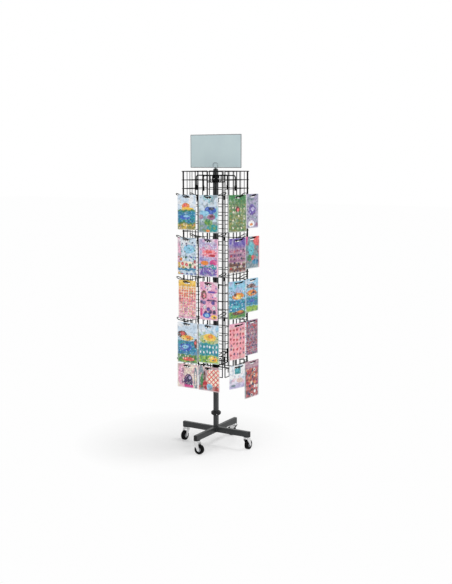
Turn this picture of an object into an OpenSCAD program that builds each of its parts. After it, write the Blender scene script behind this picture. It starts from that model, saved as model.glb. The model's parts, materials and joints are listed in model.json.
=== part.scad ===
// Rotating hook display stand: a four-sided wire grid tower that turns on a cross base with casters.
// Millimetres, +Z up. The origin is on the floor, on the turning axis. The front face looks along -Y.

/* [Base] */
// Height of a caster, from the floor to the underside of the legs
caster_h = 80; // [74:1:100]
// Distance from the turning axis to the end of a leg's steel tube
leg_reach = 233; // [200:1:280]
// Height of a leg's rectangular tube
leg_h = 34; // [25:1:40]
// How much narrower than the post a leg is, on each side
leg_shy = 1.5; // [0.5:0.5:3]
// Wall of the leg tubes
leg_wall = 1.5; // [1:0.25:2]
// Thickness of the plastic cap that shows at a leg's end
cap_t = 3; // [2:0.5:5]
// How far an end cap's plug reaches into its leg
cap_plug = 7; // [4:1:8]

/* [Post and mast] */
// Side of the square tube of the fixed post and of the turning mast
mast_w = 25; // [22:1:30]
// Wall of the post and mast tubes
mast_wall = 1.5; // [1:0.25:2]
// Outer radius of the steel tubes' long edges
tube_round = 2; // [1.8:0.1:3]
// Height of the joint between the post and the mast
pivot_z = 200; // [185:1:260]
// Distance from the top rims of the panels up to the top of the mast tube
mast_rise = 1; // [0:1:20]

/* [Pivot] */
// Diameter of the steel spindle inside the post and the mast
spindle_d = 14; // [10:1:16]
// Length of spindle inside the mast
spindle_up = 200; // [120:10:260]
// Length of the plastic plugs and bushes that hold or run on the spindle
bush_l = 25; // [15:1:35]
// Thickness of the washer that the mast turns on
washer_t = 2; // [1:0.5:4]
// Outer diameter of the round pivot collar
collar_d = 60; // [50:1:75]
// Height of the pivot collar
collar_h = 22; // [18:1:35]
// Chamfer of the collar's two rims
collar_edge = 5; // [1:0.5:6]
// Diameter of the collar's lock screw
lock_d = 6; // [4:1:8]

/* [Casters] */
// Diameter of a wheel over its tyre
wheel_d = 58; // [46:1:60]
// Width of a wheel
wheel_w = 24; // [14:1:26]
// Distance from the swivel axis to the wheel's axle
caster_trail = 17; // [10:1:22]
// Distance from a leg's end to the swivel axis
caster_inset = 15; // [15:1:30]
// Diameter of the swivel head under a leg
head_d = 40; // [32:1:40]
// Diameter of the threaded stem of a caster
stem_d = 10; // [8:1:10]
// Diameter of a wheel's axle
axle_d = 8; // [6:1:10]
// Thickness of the fork's side plates
fork_t = 2.5; // [2:0.5:4]

/* [Panels] */
// Height of a wire grid panel, between the centres of its top and bottom rims
panel_h = 1200; // [700:50:1500]
// Width of a panel, between the centres of its edge rods
panel_w = 265; // [250:5:300]
// Height of the panels' bottom rims above the floor
panel_z = 465; // [420:5:600]
// Distance from the turning axis to the plane of a panel's upright rods
panel_offset = 143.5; // [142:0.5:180]
// Distance between the rungs of a panel
rung_pitch = 50; // [40:5:60]
// Diameter of the edge rods and the middle rod of a panel
rod_d = 6; // [5:0.5:8]
// Diameter of the top and bottom rims of a panel
rim_d = 5; // [4:0.5:7]
// Diameter of the rungs and the thin uprights of a panel
wire_d = 4; // [3:0.5:5]
// Distance of the inner thin uprights from a panel's middle rod
wire_in = 34; // [20:1:45]
// Distance of the outer thin uprights from a panel's middle rod
wire_out = 87.5; // [80:0.5:100]

/* [Brackets] */
// Diameter of the bracket arms
arm_d = 7; // [5:0.5:8]
// Distance from a panel's rim to the arm of its bracket
arm_inset = 24; // [15:1:40]
// How far an arm's end turns down, or up, behind its panel
arm_drop = 83; // [50:1:110]
// Distance from the turning axis to the upright of an arm's brace
brace_r = 61; // [45:1:80]
// Height of an arm's brace
brace_h = 39; // [25:1:60]
// Wall of the square sleeve in the middle of a bracket
hub_wall = 3.3; // [2:0.1:5]
// Diameter of the screws that clamp a bracket to the mast
clamp_d = 5; // [4:1:6]

/* [Hooks] */
// Largest number of rows of hooks; a short panel takes fewer
hook_rows = 5; // [1:1:5]
// Number of rungs from the top rim to the first row of hooks
hook_first = 3; // [1:1:3]
// Number of rungs from one row of hooks to the next
hook_step = 5; // [4:1:5]
// Distance of a column of hooks from its panel's middle rod
hook_u = 74; // [70:1:80]
// Diameter of the hook wire
hook_d = 5; // [4:0.5:6]
// Distance from a panel's upright rods to where a hook turns up
hook_reach = 66; // [50:1:120]
// Distance between the two wires of a prong
prong_gap = 30; // [20:1:36]
// Slope of a prong
prong_tilt = 7; // [2:1:12]
// Slope of a prong's turned-up tip
tip_tilt = 28; // [15:1:50]
// Straight length of that tip, before its round end
tip_l = 7; // [3:1:20]
// Width of the bar that a prong is welded to
back_w = 84; // [70:1:90]
// Length of the two short legs of that bar
back_drop = 24; // [15:1:35]
// Width of a clip that hangs a hook on its rung
clip_w = 8; // [5:1:12]

/* [Sign] */
// Width of the sign board
sign_w = 350; // [200:10:400]
// Height of the sign board
sign_h = 195; // [120:5:260]
// Thickness of the sign board
sign_t = 3; // [2:0.5:5]
// Distance from the top of the mast tube up to the sign board
sign_rise = 19; // [12:1:60]
// Outer diameter of the two rings that grip the sign board
ring_d = 38; // [24:1:50]
// Diameter of the wire of those rings
ring_wire = 4; // [2.5:0.5:5]

/* [Packs] */
// Width of the widest pack
pack_w = 145; // [90:1:146]
// Height of the tallest pack
pack_h = 243; // [200:1:243]
// Thickness of a pack's filled body
pack_t = 5; // [3:0.5:10]
// Thickness of a pack's flat header and seams
seam_t = 1.6; // [1:0.2:3]
// Height of the header above the filled body
header_h = 26; // [22:1:40]
// Height of the strip above the hang slot
slot_top = 9; // [6:0.5:14]
// Distance of the front packs from the plane of the upright rods
front_pack_v = 57; // [40:1:60]
// The same for the right face's packs nearer the front
right_near_v = 48; // [30:1:60]
// The same for the right face's packs nearer the back
right_far_v = 64; // [40:1:64]

/* [Hidden] */
$fn = 48;

// Pack heights as shares of the tallest, from the top row down, for each column of the two faces
pack_shares = [[0.84, 0.9, 0.93, 1, 0.59], [0.885, 0.9, 0.915, 0.945, 0.6],
               [0.885, 0.825, 0.915, 0.885, 0.575], [0.825, 0.78, 0.825, 0.87, 0.925]];
// Pack widths as shares of the widest, in the same order
width_shares = [[0.875, 0.9, 0.85, 0.965, 0.985], [0.905, 0.905, 0.845, 0.965, 1],
                [1, 0.955, 0.955, 0.915, 0.86], [0.8, 0.965, 0.84, 0.81, 0.965]];
// Turn about the vertical of the right face's two columns of packs
right_yaw = [16, 8];

// Clearances
run_gap = 0.05;    // radial, between a shaft and the bore that turns on it
face_gap = 0.2;    // between faces that slide on each other
slip_gap = 0.15;   // per side, between fixed pieces that slip over each other
seat_gap = 0.3;    // between a pack's slot and the wires that carry it
turn_gap = 0.6;    // between the mast's corners and the collar's bore
side_gap = 1.5;    // between a wheel and its fork

// Base
leg_w = mast_w - 2 * leg_shy;
leg_top = caster_h + leg_h;
mast_in = mast_w - 2 * mast_wall;
post_top = pivot_z - washer_t;
caster_r = leg_reach - caster_inset;

// Casters
cup_h = 7;
crown_h = 5;
boss_h = 4;
boss_d = head_d * 0.4;
crown_top = caster_h - cup_h - seat_gap;
crown_bottom = crown_top - crown_h;
axle_z = wheel_d / 2;
fork_in = wheel_w / 2 + side_gap;
fork_out = fork_in + fork_t;
hub_d = wheel_d * 0.5;
tyre_round = 3;
stem_l = leg_h - leg_wall - 3;
nut_h = 8;
nut_d = stem_d * 1.6;

// Tower
panel_top = panel_z + panel_h;
mast_top = panel_top + mast_rise;
rung_count = floor(panel_h / rung_pitch - 0.4);
rows = min(hook_rows, floor((rung_count - hook_first) / hook_step) + 1);
front_plane = rod_d / 2;
rung_v = front_plane + wire_d / 2;
rim_v = front_plane + rim_d / 2;
upright_v = front_plane - wire_d / 2;
socket_d = arm_d + 4;
socket_l = 30;
arm_r = panel_offset - rod_d / 2 - socket_d / 2;
arm_bend = 12;
brace_bend = 8;
hub_w = mast_w + 2 * (slip_gap + hub_wall);
hub_h = brace_h + arm_d;

// Hooks
bar_v = rung_v + wire_d / 2 + hook_d / 2;
bar_bend = 5;
prong_l = (hook_reach - bar_v) / cos(prong_tilt);
clip_t = 1.6;
clip_u = 20;

// Sign
neck_w = mast_in - 1.5;
sign_z = mast_top + sign_rise;
block_h = 6;
neck_h = sign_rise - block_h;
pin_d = 6;
plug_l = 30;
board_round = 3;

// Packs
slot_w = prong_gap + hook_d + 6;
slot_h = hook_d + 6;
pack_round = 5;
seam_w = 5;

function rung_z(k) = panel_top - k * rung_pitch;
function hook_z(row) = rung_z(hook_first + row * hook_step);
// Height of the top of a prong's straight wire above its bar, at a distance v from the upright rods
function prong_rise(v) = (v - bar_v) * tan(prong_tilt) + hook_d / 2 / cos(prong_tilt);

// A bar of a rectangle with round corners, standing on the XY plane
module rounded_plate(w, h, t, r) {
    linear_extrude(t) {
        translate([-w / 2 + r, -h / 2]) square([w - 2 * r, h]);
        translate([-w / 2, -h / 2 + r]) square([w, h - 2 * r]);
        for (x = [-1, 1], y = [-1, 1]) translate([x * (w / 2 - r), y * (h / 2 - r)]) circle(r);
    }
}

// A straight rod along X, centred
module rod_x(l, d) rotate([0, 90, 0]) cylinder(h = l, d = d, center = true);

// A quarter or part turn of rod in the XZ plane, about the origin, from angle a0 by da
module rod_turn(r, d, a0, da) {
    rotate([90, 0, 0]) rotate([0, 0, a0]) rotate_extrude(angle = da) translate([r, 0]) circle(d = d);
}

// A tube with round edges, standing on the XY plane
module tube(w, h, l, wall) {
    difference() {
        rounded_plate(w, h, l, tube_round);
        translate([-w / 2 + wall, -h / 2 + wall, -1]) cube([w - 2 * wall, h - 2 * wall, l + 2]);
    }
}

// Four-fold places: 0 front, 1 right, 2 back, 3 left
module on_side(i) rotate([0, 0, 90 * i]) children();
module on_leg(i) on_side(i) translate([0, -caster_r, 0]) children();
module on_face(i) on_side(i) translate([0, -panel_offset, 0]) children();

// Base pieces

module base_post() {
    color([0.17, 0.17, 0.18]) translate([0, 0, caster_h]) tube(mast_w, mast_w, post_top - caster_h, mast_wall);
}

module leg(i) {
    leg_l = leg_reach - mast_w / 2;
    color([0.17, 0.17, 0.18]) on_side(i) difference() {
        translate([0, -mast_w / 2, caster_h + leg_h / 2]) rotate([90, 0, 0]) tube(leg_w, leg_h, leg_l, leg_wall);
        translate([0, -caster_r, caster_h - 1]) cylinder(h = leg_wall + 2, d = stem_d + 2 * slip_gap);
    }
}

module leg_caps() {
    plug_w = leg_w - 2 * leg_wall - 2 * slip_gap;
    plug_h = leg_h - 2 * leg_wall - 2 * slip_gap;
    color([0.05, 0.05, 0.05]) for (i = [0:3]) on_side(i) translate([0, -leg_reach, caster_h + leg_h / 2]) {
        rotate([90, 0, 0]) rounded_plate(leg_w, leg_h, cap_t, tube_round);
        translate([-plug_w / 2, 0, -plug_h / 2]) cube([plug_w, cap_plug, plug_h]);
    }
}

module spindle() {
    foot_z = caster_h + 12;
    color([0.7, 0.7, 0.72]) translate([0, 0, foot_z]) cylinder(h = pivot_z + spindle_up - foot_z, d = spindle_d);
}

module post_plugs() {
    color([0.08, 0.08, 0.08]) difference() {
        for (z = [caster_h, post_top - bush_l])
            translate([-mast_in / 2, -mast_in / 2, z]) cube([mast_in, mast_in, bush_l]);
        translate([0, 0, caster_h + 12]) cylinder(h = post_top, d = spindle_d);
    }
}

module thrust_washer() {
    color([0.75, 0.72, 0.6]) translate([0, 0, post_top]) difference() {
        cylinder(h = washer_t, d = mast_w - 0.5);
        translate([0, 0, -1]) cylinder(h = washer_t + 2, d = spindle_d + 2 * run_gap);
    }
}

// The collar grips the square post below the joint and leaves a round bore for the turning mast above it
module pivot_collar() {
    r = collar_d / 2;
    edge = collar_edge;
    grip = mast_w + 2 * slip_gap;
    color([0.04, 0.04, 0.04]) translate([0, 0, pivot_z - collar_h / 2]) difference() {
        rotate_extrude() polygon([[0, 0], [r - edge, 0], [r, edge], [r, collar_h - edge],
                                  [r - edge, collar_h], [0, collar_h]]);
        translate([-grip / 2, -grip / 2, -1]) cube([grip, grip, collar_h]);
        translate([0, 0, collar_h / 2 - washer_t]) cylinder(h = collar_h, d = mast_w * sqrt(2) + 2 * turn_gap);
        lock_place() translate([0, 0, -1]) cylinder(h = collar_d, d = lock_d);
    }
}

// The lock screw lies level with the collar's grip, on the side that faces half right of the front
module lock_place() {
    translate([0, 0, collar_h / 4]) rotate([0, 0, -50]) translate([mast_w / sqrt(2), 0, 0])
        rotate([0, 90, 0]) children();
}

module lock_screw() {
    screw_l = collar_d / 2 - mast_w / sqrt(2) - 3;
    color([0.3, 0.3, 0.32]) translate([0, 0, pivot_z - collar_h / 2]) lock_place() difference() {
        cylinder(h = screw_l, d = lock_d);
        translate([0, 0, screw_l - 3]) cylinder(h = 4, d = lock_d * 0.5, $fn = 6);
    }
}

// Casters: a fixed cup with a threaded stem, and a fork that turns under it

module caster_mounts() {
    color([0.72, 0.73, 0.75]) for (i = [0:3]) on_leg(i) {
        difference() {
            union() {
                translate([0, 0, caster_h - cup_h]) cylinder(h = cup_h, d = head_d);
                translate([0, 0, caster_h - 1]) cylinder(h = stem_l + 1, d = stem_d);
            }
            translate([0, 0, caster_h - cup_h - 1]) cylinder(h = boss_h + 1 + seat_gap, d = boss_d + 2 * run_gap);
        }
        translate([0, 0, caster_h + leg_wall]) cylinder(h = nut_h, d = nut_d, $fn = 6);
    }
}

// The point where a line from p touches the circle of radius r about c, on side s
function touch(p, c, r, s) =
    let (a = atan2(c.y - p.y, c.x - p.x) + s * asin(r / norm(c - p))) c + s * r * [-sin(a), cos(a)];

// Side plate outline in the XZ plane: a wide top under the crown, round at the axle
module fork_side() {
    eye_r = axle_d / 2 + 6;
    eye = [caster_trail, axle_z];
    top_r = [head_d * 0.42, crown_bottom + 0.5];
    top_l = [-top_r.x, top_r.y];
    difference() {
        union() {
            translate(eye) circle(eye_r);
            polygon([top_l, top_r, touch(top_r, eye, eye_r, 1), touch(top_l, eye, eye_r, -1)]);
        }
        translate(eye) circle(d = axle_d);
    }
}

module fork(i) {
    color([0.75, 0.76, 0.78]) on_leg(i) {
        translate([0, 0, crown_bottom]) cylinder(h = crown_h, d = head_d - 2);
        translate([0, 0, crown_top - 1]) cylinder(h = boss_h + 1, d = boss_d);
        for (s = [-1, 1]) translate([0, s > 0 ? fork_out : -fork_in, 0]) rotate([90, 0, 0])
            linear_extrude(fork_t) fork_side();
    }
}

module axle(i) {
    head_t = 2.5;
    head = axle_d * 1.5;
    color([0.6, 0.6, 0.62]) on_leg(i) translate([caster_trail, 0, axle_z]) rotate([90, 0, 0]) {
        cylinder(h = 2 * fork_out, d = axle_d, center = true);
        translate([0, 0, fork_out]) cylinder(h = head_t, d = head);
        translate([0, 0, -fork_out - head_t]) cylinder(h = head_t, d = head);
    }
}

module hub(i) {
    dish = 3;
    color([0.6, 0.61, 0.63]) on_leg(i) translate([caster_trail, 0, axle_z]) rotate([90, 0, 0]) difference() {
        cylinder(h = wheel_w - 2, d = hub_d, center = true);
        cylinder(h = wheel_w + 2, d = axle_d + 2 * run_gap, center = true);
        for (s = [-1, 1]) translate([0, 0, s * (wheel_w / 2 - 1)]) difference() {
            cylinder(h = 2 * dish, d = hub_d - 6, center = true);
            cylinder(h = 2 * dish + 2, d = axle_d + 8, center = true);
        }
    }
}

module tyre(i) {
    r = wheel_d / 2;
    h = wheel_w / 2;
    color([0.03, 0.03, 0.03]) on_leg(i) translate([caster_trail, 0, axle_z]) rotate([90, 0, 0])
        rotate_extrude() {
            translate([hub_d / 2, -h]) square([r - tyre_round - hub_d / 2, wheel_w]);
            translate([hub_d / 2, -h + tyre_round]) square([r - hub_d / 2, wheel_w - 2 * tyre_round]);
            for (s = [-1, 1]) translate([r - tyre_round, s * (h - tyre_round)]) circle(tyre_round);
        }
}

// Turning pieces

module mast() {
    foot = pivot_z + face_gap + 2;
    color([0.13, 0.13, 0.14]) translate([0, 0, foot]) tube(mast_w, mast_w, mast_top - foot, mast_wall);
}

// The lower bush has a flange under the tube's end, and the upper one runs near the spindle's top
module mast_bushes() {
    foot = pivot_z + face_gap;
    color([0.85, 0.85, 0.82]) difference() {
        union() {
            translate([-mast_w / 2, -mast_w / 2, foot]) cube([mast_w, mast_w, 2]);
            translate([-mast_in / 2, -mast_in / 2, foot + 1]) cube([mast_in, mast_in, bush_l]);
            translate([-mast_in / 2, -mast_in / 2, pivot_z + spindle_up - bush_l - 5])
                cube([mast_in, mast_in, bush_l]);
        }
        translate([0, 0, foot - 1]) cylinder(h = spindle_up + 2 * bush_l, d = spindle_d + 2 * run_gap);
    }
}

module mast_cap() {
    color([0.05, 0.05, 0.05]) difference() {
        union() {
            translate([-mast_in / 2, -mast_in / 2, mast_top - plug_l]) cube([mast_in, mast_in, plug_l]);
            translate([-neck_w / 2, -neck_w / 2, mast_top - 1]) cube([neck_w, neck_w, neck_h + 1]);
        }
        translate([0, 0, mast_top - plug_l + 4]) cylinder(h = plug_l + sign_rise, d = pin_d);
    }
}

// One bracket, modelled for the top of the tower: the hub's top is level with the tops of the arms
module bracket_place(top) {
    if (top) translate([0, 0, panel_top - arm_inset]) children();
    else translate([0, 0, panel_z + arm_inset]) mirror([0, 0, 1]) children();
}

module bracket_hub(top) {
    color([0.06, 0.06, 0.06]) bracket_place(top) translate([0, 0, arm_d / 2 - hub_h]) difference() {
        translate([-hub_w / 2, -hub_w / 2, 0]) cube([hub_w, hub_w, hub_h]);
        translate([-mast_w / 2 - slip_gap, -mast_w / 2 - slip_gap, -1])
            cube([mast_w + 2 * slip_gap, mast_w + 2 * slip_gap, hub_h + 2]);
        for (z = [0, 90]) rotate([0, 0, z]) translate([0, 0, hub_h / 2]) rotate([90, 0, 0])
            cylinder(h = hub_w, d = clamp_d);
    }
}

module bracket_screws() {
    color([0.5, 0.5, 0.52]) for (top = [true, false]) bracket_place(top)
        for (z = [0, 90]) rotate([0, 0, z]) translate([0, -mast_w / 2, arm_d / 2 - hub_h / 2]) rotate([90, 0, 0])
            cylinder(h = hub_wall + slip_gap + 4, d = clamp_d);
}

// One arm along +X: out to the panel, a bend, a leg down behind the middle rod, and a brace to the hub
module bracket_arm() {
    translate([hub_w / 2, 0, 0]) rotate([0, 90, 0]) cylinder(h = arm_r - arm_bend - hub_w / 2, d = arm_d);
    translate([arm_r - arm_bend, 0, -arm_bend]) rod_turn(arm_bend, arm_d, 0, 90);
    translate([arm_r, 0, -arm_drop]) cylinder(h = arm_drop - arm_bend, d = arm_d);
    translate([brace_r, 0, -brace_h + brace_bend]) cylinder(h = brace_h - brace_bend, d = arm_d - 1);
    translate([brace_r - brace_bend, 0, -brace_h + brace_bend]) rod_turn(brace_bend, arm_d - 1, -90, 90);
    translate([hub_w / 2, 0, -brace_h]) rotate([0, 90, 0])
        cylinder(h = brace_r - brace_bend - hub_w / 2, d = arm_d - 1);
}

module bracket_arms(top) {
    color([0.06, 0.06, 0.06]) bracket_place(top) for (i = [0:3]) on_side(i) bracket_arm();
}

// A wire grid panel in the front face's place: rods and thin uprights behind, rungs and rims before them
module panel(i) {
    bar_l = panel_w + rod_d;
    color([0.05, 0.05, 0.05]) on_face(i) {
        for (x = [-panel_w / 2, 0, panel_w / 2])
            translate([x, 0, panel_z - rim_d / 2]) cylinder(h = panel_h + rim_d, d = rod_d);
        for (x = [-wire_out, -wire_in, wire_in, wire_out])
            translate([x, -upright_v, panel_z - rim_d / 2]) cylinder(h = panel_h + rim_d, d = wire_d);
        for (z = [panel_z, panel_top]) translate([0, -rim_v, z]) rod_x(bar_l, rim_d);
        for (k = [1:rung_count]) translate([0, -rung_v, rung_z(k)]) rod_x(bar_l, wire_d);
        for (z = [panel_top - arm_inset - arm_drop - 5, panel_z + arm_inset + arm_drop + 5 - socket_l])
            translate([0, rod_d / 2 + socket_d / 2, z]) difference() {
                cylinder(h = socket_l, d = socket_d);
                translate([0, 0, -1]) cylinder(h = socket_l + 2, d = arm_d + 2 * slip_gap);
            }
    }
}

// Calls its child at each hook of a face, at the middle of the hook's bar
module at_hooks(i) {
    on_face(i) for (row = [0:rows - 1], u = [-hook_u, hook_u])
        translate([u, -bar_v, hook_z(row)]) children();
}

// The bar of a hook, with two short legs and two clips that go over the rung behind it
module hook_bar() {
    half = back_w / 2;
    rod_x(back_w - 2 * bar_bend - hook_d, hook_d);
    for (s = [0, 1]) mirror([s, 0, 0]) {
        translate([half - hook_d / 2 - bar_bend, 0, -bar_bend]) rod_turn(bar_bend, hook_d, 0, 90);
        translate([half - hook_d / 2, 0, -back_drop]) cylinder(h = back_drop - bar_bend, d = hook_d);
        translate([clip_u - clip_w / 2, bar_v - rung_v, 0]) rotate([90, 0, 90])
            linear_extrude(clip_w) clip_outline();
    }
}

// A clip's outline about the rung's centre: X points away from the shopper, Y up
module clip_outline() {
    inner = wire_d / 2 + slip_gap;
    outer = inner + clip_t;
    difference() {
        circle(outer);
        circle(inner);
        translate([-outer - 1, -outer - 1]) square([outer + 1, outer + 1]);
        translate([-1, -outer - 1]) square([outer + 2, outer + 1 - inner]);
    }
}

// Two wires that start against the bar, slope up, turn up more, and close in a round tip
module prong() {
    start = hook_d / 2;
    lap = hook_d / 4;
    $fn = 24;
    for (x = [-prong_gap / 2, prong_gap / 2]) translate([x, 0, 0]) rotate([90 - prong_tilt, 0, 0])
        translate([0, 0, start]) cylinder(h = prong_l - start + lap, d = hook_d);
    translate([0, -prong_l * cos(prong_tilt), prong_l * sin(prong_tilt)]) rotate([-tip_tilt, 0, 0]) {
        for (x = [-prong_gap / 2, prong_gap / 2])
            translate([x, lap, 0]) rotate([90, 0, 0]) cylinder(h = tip_l + lap, d = hook_d);
        translate([0, -tip_l, 0]) rotate([0, 0, 180]) rotate_extrude(angle = 180)
            translate([prong_gap / 2, 0]) circle(d = hook_d);
    }
}

module hook_bars(i) {
    color([0.05, 0.05, 0.05]) at_hooks(i) hook_bar();
}

module prongs(i) {
    color([0.05, 0.05, 0.05]) at_hooks(i) prong();
}

// Sign

module sign_clip() {
    ring_r = (ring_d - ring_wire) / 2;
    ring_y = sign_t / 2 + ring_wire / 2;
    color([0.62, 0.66, 0.68]) translate([0, 0, sign_z]) {
        translate([0, 0, -block_h]) cylinder(h = block_h, d = 2 * ring_y + ring_wire);
        for (s = [-1, 1]) translate([0, s * ring_y, ring_d / 2 - block_h + 1]) rotate([90, 0, 0])
            rotate_extrude() translate([ring_r, 0]) circle(d = ring_wire);
        translate([0, 0, -block_h - neck_h - plug_l + 8]) cylinder(h = neck_h + plug_l - 7, d = pin_d);
    }
}

module sign_board() {
    color([0.72, 0.78, 0.8]) translate([0, sign_t / 2, sign_z + sign_h / 2]) rotate([90, 0, 0])
        rounded_plate(sign_w, sign_h, sign_t, board_round);
}

// A pack's outline stands in the XZ plane, with its hang slot's top edge at the origin
module pack(w, h) {
    body_h = h - header_h - seam_w;
    slot_mid = -slot_h / 2;
    difference() {
        union() {
            translate([0, seam_t / 2, slot_top - h / 2]) rotate([90, 0, 0])
                rounded_plate(w, h, seam_t, pack_round);
            translate([0, pack_t / 2, slot_top - header_h - body_h / 2]) rotate([90, 0, 0])
                rounded_plate(w - 2 * seam_w, body_h, pack_t, pack_round);
        }
        translate([0, pack_t, slot_mid]) rotate([90, 0, 0]) rounded_plate(slot_w, slot_h, 2 * pack_t, slot_h / 2 - 1);
    }
}

// A column of packs on a face's hooks, at u across it; a slot's top edge rests just above the wires
module packs(i, column, u, v, yaw) {
    wire_u = (prong_gap + hook_d) / 2;
    rise = prong_rise(v + seam_t / 2 + wire_u * tan(yaw)) + seat_gap / 2;
    on_face(i) for (row = [0:rows - 1])
        translate([u, -v, hook_z(row) + rise]) rotate([0, 0, -yaw])
            pack(pack_w * width_shares[column][row], pack_h * pack_shares[column][row]);
}

module packs_front_left() {
    color([0.45, 0.7, 0.75]) packs(0, 0, -hook_u, front_pack_v, 0);
}

module packs_front_right() {
    color([0.6, 0.6, 0.75]) packs(0, 1, hook_u, front_pack_v, 0);
}

module packs_right_near() {
    color([0.5, 0.7, 0.55]) packs(1, 2, -hook_u, right_near_v, right_yaw[0]);
}

module packs_right_far() {
    color([0.8, 0.55, 0.6]) packs(1, 3, hook_u, right_far_v, right_yaw[1]);
}

base_post();
leg(0);  // leg_front
leg(1);  // leg_right
leg(2);  // leg_back
leg(3);  // leg_left
leg_caps();
spindle();
post_plugs();
thrust_washer();
pivot_collar();
lock_screw();
caster_mounts();
fork(0);  // fork_front
axle(0);  // axle_front
hub(0);  // hub_front
tyre(0);  // tyre_front
fork(1);  // fork_right
axle(1);  // axle_right
hub(1);  // hub_right
tyre(1);  // tyre_right
fork(2);  // fork_back
axle(2);  // axle_back
hub(2);  // hub_back
tyre(2);  // tyre_back
fork(3);  // fork_left
axle(3);  // axle_left
hub(3);  // hub_left
tyre(3);  // tyre_left
mast();
mast_bushes();
mast_cap();
bracket_hub(true);  // top_bracket_hub
bracket_arms(true);  // top_bracket_arms
bracket_hub(false);  // bottom_bracket_hub
bracket_arms(false);  // bottom_bracket_arms
bracket_screws();
panel(0);  // panel_front
panel(1);  // panel_right
panel(2);  // panel_back
panel(3);  // panel_left
hook_bars(0);  // hook_bars_front
hook_bars(1);  // hook_bars_right
hook_bars(2);  // hook_bars_back
hook_bars(3);  // hook_bars_left
prongs(0);  // prongs_front
prongs(1);  // prongs_right
prongs(2);  // prongs_back
prongs(3);  // prongs_left
sign_clip();
sign_board();
packs_front_left();
packs_front_right();
packs_right_near();
packs_right_far();
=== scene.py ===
"""The looks of the rotating hook display stand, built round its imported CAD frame. Metres, +Z up."""
import json
import math
import random

import bmesh
import bpy
from mathutils import Matrix, Vector


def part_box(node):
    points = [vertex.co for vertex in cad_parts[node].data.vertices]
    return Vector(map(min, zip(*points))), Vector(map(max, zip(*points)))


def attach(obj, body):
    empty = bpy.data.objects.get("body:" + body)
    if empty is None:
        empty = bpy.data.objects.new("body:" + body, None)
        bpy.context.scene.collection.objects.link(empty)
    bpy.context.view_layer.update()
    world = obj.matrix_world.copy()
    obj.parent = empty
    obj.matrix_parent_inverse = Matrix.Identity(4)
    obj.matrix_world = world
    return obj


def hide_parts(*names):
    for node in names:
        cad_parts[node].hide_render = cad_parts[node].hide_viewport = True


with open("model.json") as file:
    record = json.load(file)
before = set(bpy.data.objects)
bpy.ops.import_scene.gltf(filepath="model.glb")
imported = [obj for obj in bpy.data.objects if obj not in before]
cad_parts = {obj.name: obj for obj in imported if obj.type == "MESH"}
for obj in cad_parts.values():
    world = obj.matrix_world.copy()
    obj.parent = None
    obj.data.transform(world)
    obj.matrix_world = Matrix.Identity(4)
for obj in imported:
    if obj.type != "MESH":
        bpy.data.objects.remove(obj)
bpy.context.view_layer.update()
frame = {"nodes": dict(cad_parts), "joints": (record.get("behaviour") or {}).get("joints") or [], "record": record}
nodes = frame["nodes"]
joints = {joint["name"]: joint for joint in frame["joints"]}
MM = 0.001
SIDES = ("front", "right", "back", "left")

# Driving sizes of the CAD model that the dressed pieces share, in mm
PACK_W = 145
PACK_H = 243
PACK_T = 5
SEAM_T = 1.6
SEAM_W = 5
HEADER_H = 26
SLOT_TOP = 9
SLOT_W = 41
SLOT_H = 11
CORNER = 5
ROW_PITCH = 250
FIRST_HOOK = 1515
HOOK_U = 74
PRONG_GAP = 30
WIRE_D = 4
ROD_D = 6
RIM_D = 5
HOOK_D = 5
PANEL_OFFSET = 143.5
PANEL_TOP = 1665
PANEL_FOOT = 465
RUNG_PITCH = 50
RUNGS = 23
ROWS = 5
WHEEL_R = 29
WHEEL_W = 24
HUB_R = 14.5
AXLE_R = 4
CASTER_H = 80
FORK_OUT = 16
FORK_T = 2.5
LEG_W = 22
LEG_H = 34
MAST_W = 25
SIGN_T = 3
RING_D = 38
RING_WIRE = 4


# Materials

def rgb(r, g, b):
    """A colour given as 8-bit screen values, as Blender's linear colour."""
    linear = [c / 255 / 12.92 if c <= 10 else ((c / 255 + 0.055) / 1.055) ** 2.4 for c in (r, g, b)]
    return tuple(linear) + (1.0,)


class Graph:
    """A material and the few kinds of node that this script builds it from."""

    def __init__(self, name):
        self.mat = bpy.data.materials.new(name)
        self.mat.use_nodes = True
        self.tree = self.mat.node_tree
        self.bsdf = self.tree.nodes["Principled BSDF"]

    def put(self, socket, value):
        if isinstance(value, bpy.types.NodeSocket):
            self.tree.links.new(value, socket)
        else:
            socket.default_value = value

    def add(self, kind, settings=None, **values):
        node = self.tree.nodes.new("ShaderNode" + kind)
        for key, value in (settings or {}).items():
            setattr(node, key, value)
        for key, value in values.items():
            self.put(node.inputs[key.replace("_", " ")], value)
        return node

    def shade(self, **values):
        for key, value in values.items():
            self.put(self.bsdf.inputs[key.replace("_", " ")], value)

    def place(self):
        return self.add("TexCoord").outputs["Object"]

    def math(self, operation, a, b=0.0):
        node = self.add("Math", {"operation": operation})
        self.put(node.inputs[0], a)
        self.put(node.inputs[1], b)
        return node.outputs[0]

    def span(self, value, low, high, to_low=0.0, to_high=1.0):
        return self.add("MapRange", Value=value, From_Min=low, From_Max=high, To_Min=to_low,
                        To_Max=to_high).outputs[0]

    def noise(self, vector, scale, detail=2.0):
        return self.add("TexNoise", Vector=vector, Scale=scale, Detail=detail).outputs[0]

    def mix(self, factor, a, b):
        node = self.add("Mix", {"data_type": "RGBA"})
        self.put(node.inputs[0], factor)
        self.put(node.inputs[6], a)
        self.put(node.inputs[7], b)
        return node.outputs[2]

    def bump(self, height, distance, strength=1.0):
        self.shade(Normal=self.add("Bump", Height=height, Distance=distance, Strength=strength).outputs[0])


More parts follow.
